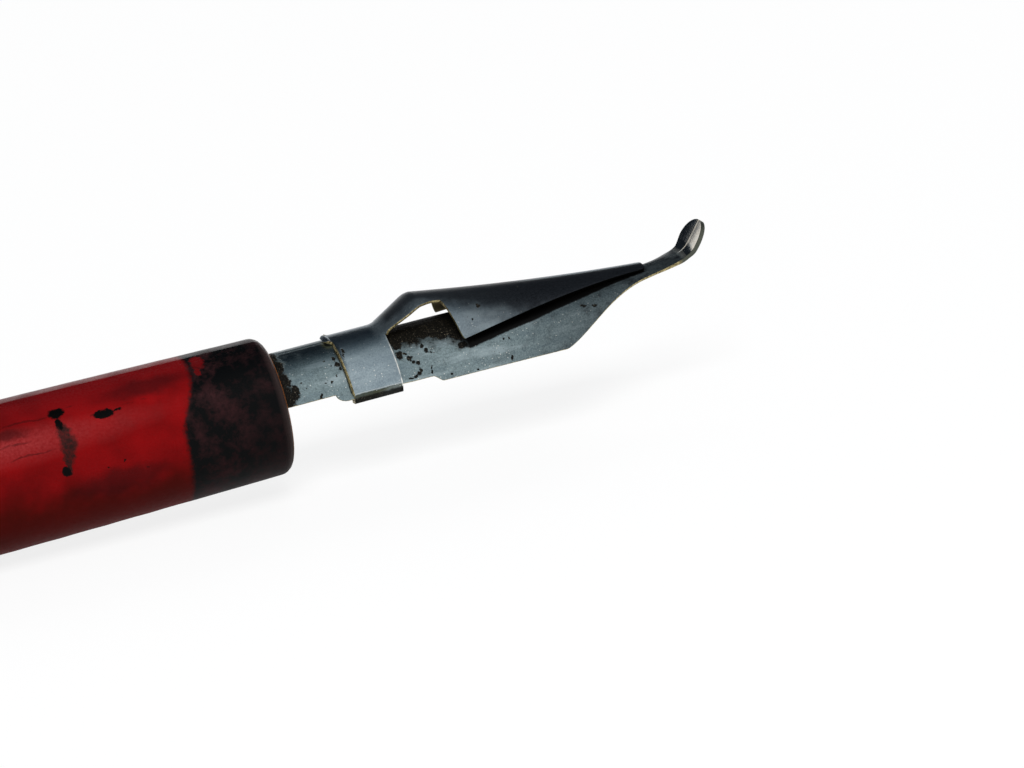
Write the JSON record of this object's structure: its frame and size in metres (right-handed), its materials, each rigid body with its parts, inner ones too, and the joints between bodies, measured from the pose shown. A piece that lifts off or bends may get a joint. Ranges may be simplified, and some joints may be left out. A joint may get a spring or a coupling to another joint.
{
  "type": "dip pen",
  "caption": "Dip pen for lettering: a tapered round handle, a bent sheet steel nib with an upturned round disc point, and a spring steel ink reservoir clasped over the nib.",
  "frame": {"origin": "centre of the handle's flat tail end, on the pen's axis", "axes": "+X along the pen from the tail to the nib, +Z towards the nib's ridge and the reservoir's hood, +Y to the pen's left seen from the tail"},
  "size_m": [0.1961, 0.012, 0.0122],
  "materials": {
    "handle": "worn gloss, ink stained at the nose",
    "socket_sleeve": "drawn steel, dull",
    "grip_spring": "pressed spring steel",
    "nib": "satin pressed steel with dried ink",
    "ink_reservoir": "satin spring steel with dried ink"
  },
  "bodies": {
    "holder": {"handle": "handle", "socket_sleeve": "socket_sleeve", "grip_spring": "grip_spring"},
    "writing_end": {"nib": "nib", "ink_reservoir": "ink_reservoir"}
  },
  "joints": [
    {"name": "nib_pull", "type": "slide", "parent": "holder", "child": "writing_end", "axis": [1, 0, 0], "range_m": [0, 0.012]}
  ]
}
